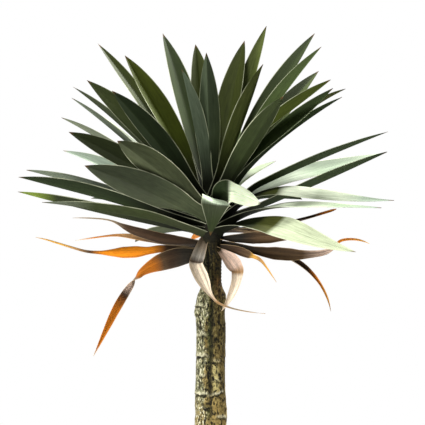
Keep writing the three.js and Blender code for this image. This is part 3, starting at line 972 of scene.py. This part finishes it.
def bark_relief(bearing, at):
    """Relief of the bark over the plain trunk, and its painted shade and painted highlight there."""
    z = at[2]
    relief, painted_shade, pale = np.zeros((3, *z.shape))
    wander, pitch, seed = SCAR_WANDER
    for height, middle, width, slope, depth in bark_scars():
        turn = turned(bearing, middle)
        window = np.clip(1 - (turn / width) ** 2, 0, 1)
        over = z - (height + slope * turn + wander * noise(turn / pitch, height, MID_CELL, seed))
        ledge = np.where(over >= 0, np.exp(-over / SCAR_DECAY), -SCAR_LIP * np.exp(over / SCAR_UNDERCUT))
        relief = relief + depth * window * ledge
        # Painted shadow under the ledge
        shadow = bell(over + SHADOW_DROP, SHADOW_REACH + SHADOW_GROWTH * depth)
        painted_shade = np.maximum(painted_shade, np.sqrt(window) * shadow)
        # Painted highlight on the pale crest above the ledge
        crest = bell(over - CREST_RISE, CREST_REACH)
        pale = np.maximum(pale, min(1, depth / CREST_FULL) * window * crest)
    for height, middle, reach, width, depth in SWELLINGS:
        relief = relief + depth * bell(z - height, reach) * bell(turned(bearing, middle), width)
    bark = 1 - smoothstep(z, SHOULDER_HEIGHT, SHOULDER_HEIGHT + SHOULDER_BLEND)
    for size, seed, depth in ROUGH_SIZES:
        relief = relief + depth * grain(at, (size, size), seed) * lerp(NECK_ROUGH, 1, bark)
    wander, pitch, seed = GROOVE_WANDER
    line = FRONT + wander * noise(z / pitch, MID_CELL, MID_CELL, seed)
    groove = bell(turned(bearing, line), GROOVE_WIDTH) * smoothstep(z, *GROOVE_SPAN)
    pit = smoothstep(grain(at, *PIT_GRAIN), *PIT_SPAN)
    crack = smoothstep(-np.abs(grain(at, *CRACK_GRAIN)), *CRACK_SPAN)
    crack = crack * smoothstep(grain(at, *CRACK_FIELD), *CRACK_FIELD_SPAN)
    # The groove, pits and cracks get painted shade in their hollows
    for form, (depth, shade) in ((groove, GROOVE_CUT), (pit, PIT_CUT), (crack, CRACK_CUT)):
        relief = relief - depth * form * bark
        painted_shade = np.maximum(painted_shade, shade * form * bark)
    wander, pitch, rise, seed = NECK_RING_WANDER
    wander = wander * noise(bearing / pitch, z / rise, MID_CELL, seed)
    rings = np.sin(2 * np.pi * z / NECK_RING_PITCH + wander)
    return relief + NECK_RING_RELIEF * rings * (1 - bark), painted_shade, pale


def bark_colours(bearing, at, painted_shade, pale):
    """Colours of the bark, and how far pale specks cover it."""
    def blotch(form):
        height, size, seed = form
        return height * grain(at, (size, size), seed)

    z = at[2]
    pale = pale[..., None]
    painted_shade = np.clip(painted_shade, 0, 1)[..., None]
    facing = sum((blotch(form) for form in LICHEN_BLOTCHES), -np.cos(np.radians(bearing)))
    lichen = smoothstep(facing, *LICHEN_SPAN)[..., None]
    low = smoothstep(blotch(LOW_BLOTCH) - z, *LOW_SPAN)[..., None]
    lowest = smoothstep(blotch(LOWEST_BLOTCH) - z, *LOWEST_SPAN)[..., None]
    right = lerp(BARK_BROWN, BARK_TAN, low)
    left = lerp(BARK_LICHEN, BARK_TAN, LOWEST_SHARE * lowest)
    colours = lerp(right, left, lichen)
    neck = smoothstep(z, SHOULDER_HEIGHT - NECK_LEAD, SHOULDER_HEIGHT + SHOULDER_BLEND)[..., None]
    colours = lerp(colours, BARK_NECK, neck)
    for height, middle, reach, width, shade, share in BARK_PATCHES:
        turn = turned(bearing, middle) + blotch(PATCH_BLOTCH)
        window = np.exp(-((z - height) / reach) ** 4 - (turn / width) ** 4)
        colours = lerp(colours, shade, (share * window)[..., None])
    # Painted highlight on the scars' crests
    colours = lerp(colours, BARK_CHALK_AND_HIGHLIGHT, CREST_HIGHLIGHT_SHARE * pale)
    mottle = sum((blotch(form) for form in MOTTLE_BLOTCHES), 1)
    fibre = np.clip(1 + NECK_FIBRE * grain(at, *NECK_FIBRE_GRAIN), *NECK_FIBRE_RANGE)
    colours = colours * lerp(mottle[..., None], fibre[..., None], neck)
    # Painted shade on the stem inside the crown
    crown = smoothstep(z, CROWN_HEIGHT - CROWN_BLEND, CROWN_HEIGHT)[..., None]
    colours = lerp(colours, CORE_PAINTED_SHADE, crown)
    cover = lichen * (1 - neck) + BARE_COVER * neck + CREST_COVER * pale
    # Painted shade under the ledges and in the groove, pits and cracks, with no pale specks there
    return lerp(colours, BARK_PAINTED_SHADE, painted_shade), lerp(cover, BARE_COVER, painted_shade)


def round_map(place, *turns):
    """Corners in the bake map of a triangle of a round cap: two on its rim and its middle."""
    u, v = place
    return [(u + ROUND_MAP * math.cos(turn), v + ROUND_MAP * math.sin(turn)) for turn in turns] + [place]


def add_trunk(material):
    z, bearing = np.meshgrid(
        np.linspace(0, STEM_TOP, BARK_ROWS + 1),
        np.linspace(0, 360, BARK_COLUMNS, endpoint=False),
        indexing="ij",
    )
    cosine, sine = np.cos(np.radians(bearing)), np.sin(np.radians(bearing))
    at = (TRUNK_RADIUS * cosine, TRUNK_RADIUS * sine, z)
    relief, painted_shade, pale = bark_relief(bearing, at)
    colours, cover = bark_colours(bearing, at, painted_shade, pale)
    cut = 1 - smoothstep(z, STEM_TOP - APEX_HEIGHT, STEM_TOP)
    radius = trunk_radius(z, rings=False) + relief * cut
    points = np.stack([trunk_centre(z) + radius * cosine, radius * sine, z], -1)
    faces, maps = tube(BARK_ROWS + 1, BARK_COLUMNS, BARK_MAP, BARK_ORDER)
    top = BARK_ROWS * BARK_COLUMNS
    count = top + BARK_COLUMNS
    for k in range(BARK_COLUMNS):
        n = (k + 1) % BARK_COLUMNS
        turn, after = 2 * np.pi * k / BARK_COLUMNS, 2 * np.pi * (k + 1) / BARK_COLUMNS
        faces += [(n, k, count), (top + k, top + n, count + 1)]
        maps += round_map(CUT_MAP, after, turn) + round_map(TOP_MAP, turn, after)
    ends = np.array([[trunk_centre(0.0), 0, 0], [trunk_centre(float(STEM_TOP)), 0, STEM_TOP]])
    points = np.concatenate([points.reshape(-1, 3), ends])
    # The top point takes the crown's painted shade
    colours = np.concatenate([colours.reshape(-1, 3), [BARK_STRAW, CORE_PAINTED_SHADE]])
    attributes = {
        "tint": ("FLOAT_COLOR", with_alpha(colours)),
        "cover": ("FLOAT", np.concatenate([cover.ravel(), [0, 0]])),
    }
    obj = make_mesh("trunk_bark", points, faces, maps, attributes)
    add_piece(obj, "trunk", material)


class Graph:
    """The nodes of a material or a world, made one at a time with their inputs."""

    def __init__(self, owner):
        owner.use_nodes = True
        self.owner = owner
        self.tree = owner.node_tree
        self.tree.nodes.clear()

    def node(self, kind, inputs=None, **settings):
        made = self.tree.nodes.new("ShaderNode" + kind)
        for key, value in settings.items():
            setattr(made, key, value)
        for key, value in (inputs or {}).items():
            self.feed(made.inputs[key], value)
        return made

    def feed(self, socket, value):
        if isinstance(value, bpy.types.NodeSocket):
            self.tree.links.new(value, socket)
        else:
            socket.default_value = (*value, 1) if socket.type == "RGBA" else value

    def attribute(self, name, output):
        return self.node("Attribute", attribute_name=name).outputs[output]

    def place(self):
        return self.node("TexCoord").outputs["Object"]

    def math(self, operation, *values):
        return self.node("Math", dict(enumerate(values)), operation=operation).outputs[0]

    def noise(self, place, stretch, scale, detail, roughness):
        stretched = self.node("VectorMath", {0: place, 1: stretch}, operation="MULTIPLY").outputs[0]
        inputs = {"Vector": stretched, "Scale": scale, "Detail": detail, "Roughness": roughness}
        return self.node("TexNoise", inputs).outputs["Fac"]

    def span(self, value, low, high, start, end):
        inputs = {"Value": value, "From Min": low, "From Max": high, "To Min": start, "To Max": end}
        return self.node("MapRange", inputs).outputs["Result"]

    def mix(self, factor, a, b, blend="MIX"):
        """The node's inputs 6 and 7 and its output 2 are its colours."""
        made = self.node("Mix", data_type="RGBA", blend_type=blend)
        for key, value in ((0, factor), (6, a), (7, b)):
            self.feed(made.inputs[key], value)
        return made.outputs[2]

    def toned(self, *tones):
        """The points' own colour, times the sum of two tones."""
        tone = self.math("ADD", *tones)
        grey = self.node("CombineColor", {0: tone, 1: tone, 2: tone}).outputs[0]
        return self.mix(1.0, self.attribute("tint", "Color"), grey, "MULTIPLY")

    def finish(self, colour, roughness, height, strength, distance, specular):
        bump = self.node("Bump", {"Strength": strength, "Distance": distance, "Height": height})
        inputs = {
            "Base Color": colour,
            "Roughness": roughness,
            "Specular IOR Level": specular,
            "Normal": bump.outputs["Normal"],
        }
        shader = self.node("BsdfPrincipled", inputs)
        self.node("OutputMaterial", {"Surface": shader.outputs["BSDF"]})
        return self.owner


def green_material():
    graph = Graph(bpy.data.materials.new("yucca_green_leaf"))
    place = graph.attribute("place", "Vector")
    parts = graph.node("SeparateXYZ", {0: place})
    length, across = parts.outputs[0], parts.outputs[1]
    veins = graph.noise(place, *VEINS)
    clouds = graph.noise(place, *LEAF_CLOUDS)
    body = graph.toned(graph.span(veins, *VEIN_TONE), graph.span(clouds, *LEAF_CLOUD_TONE))
    # Painted shade darkens the blade along its keel, where the fold makes a crease
    body = graph.mix(graph.span(graph.math("ABSOLUTE", across), *KEEL_SHADE_SPAN), body, KEEL_PAINTED_SHADE)
    body = graph.mix(graph.span(length, *TIP_SPAN), body, TIP_BROWN)
    margin = graph.span(graph.attribute("edge", "Fac"), *MARGIN_SPAN)
    gaps = graph.span(graph.noise(place, *MARGIN_GAPS), *MARGIN_GAP_SPAN)
    margin = graph.math("MULTIPLY", margin, gaps)
    margin = graph.math("MULTIPLY", margin, graph.span(length, *MARGIN_END))
    body = graph.mix(margin, body, MARGIN)
    return graph.finish(body, graph.span(veins, *VEIN_ROUGHNESS), veins, *LEAF_FINISH)


def dry_material():
    graph = Graph(bpy.data.materials.new("yucca_dry_leaf"))
    place = graph.attribute("place", "Vector")
    fibres = graph.noise(place, *FIBRES)
    flecks = graph.noise(place, *DRY_FLECKS)
    body = graph.toned(graph.span(fibres, *FIBRE_TONE), graph.span(flecks, *DRY_FLECK_TONE))
    margin = graph.span(graph.attribute("edge", "Fac"), *DRY_MARGIN_SPAN)
    body = graph.mix(margin, body, DRY_MARGIN)
    return graph.finish(body, graph.span(fibres, *FIBRE_ROUGHNESS), fibres, *DRY_FINISH)


def bark_material():
    graph = Graph(bpy.data.materials.new("yucca_bark"))
    place = graph.place()
    cover = graph.attribute("cover", "Fac")
    fine = graph.noise(place, *BARK_GRAIN)
    specks = graph.noise(place, *BARK_SPECKS)
    flecks = graph.noise(place, *BARK_FLECKS)
    blots = graph.noise(place, *BARK_BLOTS)
    body = graph.toned(graph.span(fine, *GRAIN_TONE), graph.span(blots, *BLOT_TONE))
    spot = graph.mix(cover, BARK_OCHRE, BARK_CHALK_AND_HIGHLIGHT)
    pale = graph.math("MULTIPLY", graph.span(flecks, *FLECK_SPAN), graph.span(cover, *FLECK_COVER))
    body = graph.mix(pale, body, spot)
    # Painted shade in the small pits of the bark, where the bump is low
    pits = graph.math("MULTIPLY", graph.span(specks, *SPECK_SPAN), graph.span(blots, *SPECK_BLOTS))
    pits = graph.math("MULTIPLY", pits, graph.span(cover, *SPECK_COVER))
    body = graph.mix(pits, body, BARK_PAINTED_SHADE)
    height = graph.math("ADD", graph.math("MULTIPLY", fine, GRAIN_HEIGHT), graph.span(specks, *SPECK_HEIGHT))
    return graph.finish(body, graph.span(fine, *GRAIN_ROUGHNESS), height, *BARK_FINISH)


def floor_material():
    graph = Graph(bpy.data.materials.new("studio_floor"))
    cloud = graph.noise(graph.place(), *FLOOR_CLOUDS)
    shade = tuple(FLOOR_DIM * c for c in FLOOR_COLOUR)
    body = graph.mix(cloud, shade, FLOOR_COLOUR)
    return graph.finish(body, FLOOR_ROUGHNESS, cloud, *FLOOR_FINISH)


def leaves():
    """Green and dry leaves, each on its seat; the steepest green leaf sits first and the dry ones last."""
    green = []
    for ring, rows in LEAF_RINGS.items():
        for i, (bearing, rise, droop, roll, length, *shades) in enumerate(rows):
            name = f"{ring}_{i + 1:02d}"
            plain = {
                "name": name,
                "root": bearing,
                "chord": rise,
                "bearing": (bearing, bearing, bearing),
                "rise": (rise + droop / 2, rise, rise - droop / 2),
                "roll": (0, roll, roll),
                "length": length,
                "width": LEAF_WIDTH * min(1, math.sqrt(length / FULL_LENGTH)),
                "widest": LEAF_WIDEST,
                "point": LEAF_POINT,
                "fold": LEAF_FOLD,
                "shade": PAINTED_BASE_SHADE,
                "colours": [(0, shade) for shade in shades],
            }
            green.append(SimpleNamespace(**(plain | FINE.get(name, {}))))
    green.sort(key=lambda leaf: -leaf.chord)
    dry = [SimpleNamespace(name=name, **form) for name, form in DRY_LEAVES.items()]
    for leaf in dry:
        leaf.root = course(leaf, "bearing", 0)
    for index, leaf in enumerate(green + dry):
        leaf.index = index
        leaf.seed = SEED_STEP * index
    seat_leaves(green + dry)
    return green, dry


def add_light(name, place, size, power, spread):
    lamp = bpy.data.lights.new(name, "AREA")
    lamp.shape = "DISK"
    lamp.size = size
    lamp.energy = power
    lamp.spread = math.radians(spread)
    obj = add_object(name, lamp)
    obj.location = place
    obj.rotation_euler = (Vector(CROWN_MIDDLE) - obj.location).to_track_quat("-Z", "Y").to_euler()


def add_camera():
    lens = bpy.data.cameras.new("photo_view")
    lens.lens = LENS
    lens.sensor_width = SENSOR
    obj = add_object("photo_view", lens)
    obj.location = EYE
    obj.rotation_euler = (math.radians(90 + LOOK_UP), 0, 0)
    bpy.context.scene.camera = obj


def add_world():
    """A white backdrop for the camera, which lights the plant only a little."""
    graph = Graph(bpy.data.worlds.new("studio"))
    seen = graph.node("LightPath").outputs["Is Camera Ray"]
    strength = graph.span(seen, 0.0, 1.0, WORLD_LIGHT, 1.0)
    back = graph.node("Background", {"Color": (1, 1, 1), "Strength": strength})
    graph.node("OutputWorld", {"Surface": back.outputs["Background"]})
    bpy.context.scene.world = graph.owner


def add_floor():
    bpy.ops.mesh.primitive_circle_add(vertices=FLOOR_SIDES, radius=FLOOR_RADIUS, fill_type="NGON")
    floor = bpy.context.object
    floor.name = "studio_floor"
    floor.data.materials.append(floor_material())


bpy.context.scene.view_settings.view_transform = "Standard"
green_leaves, dry_leaves = leaves()
green_look = green_material()
dry_look = dry_material()
for green_leaf in green_leaves:
    add_green(green_leaf, green_look)
for dry_leaf in dry_leaves:
    add_dry(dry_leaf, dry_look)
add_trunk(bark_material())
add_world()
for light in LIGHTS:
    add_light(*light)
add_floor()
add_camera()
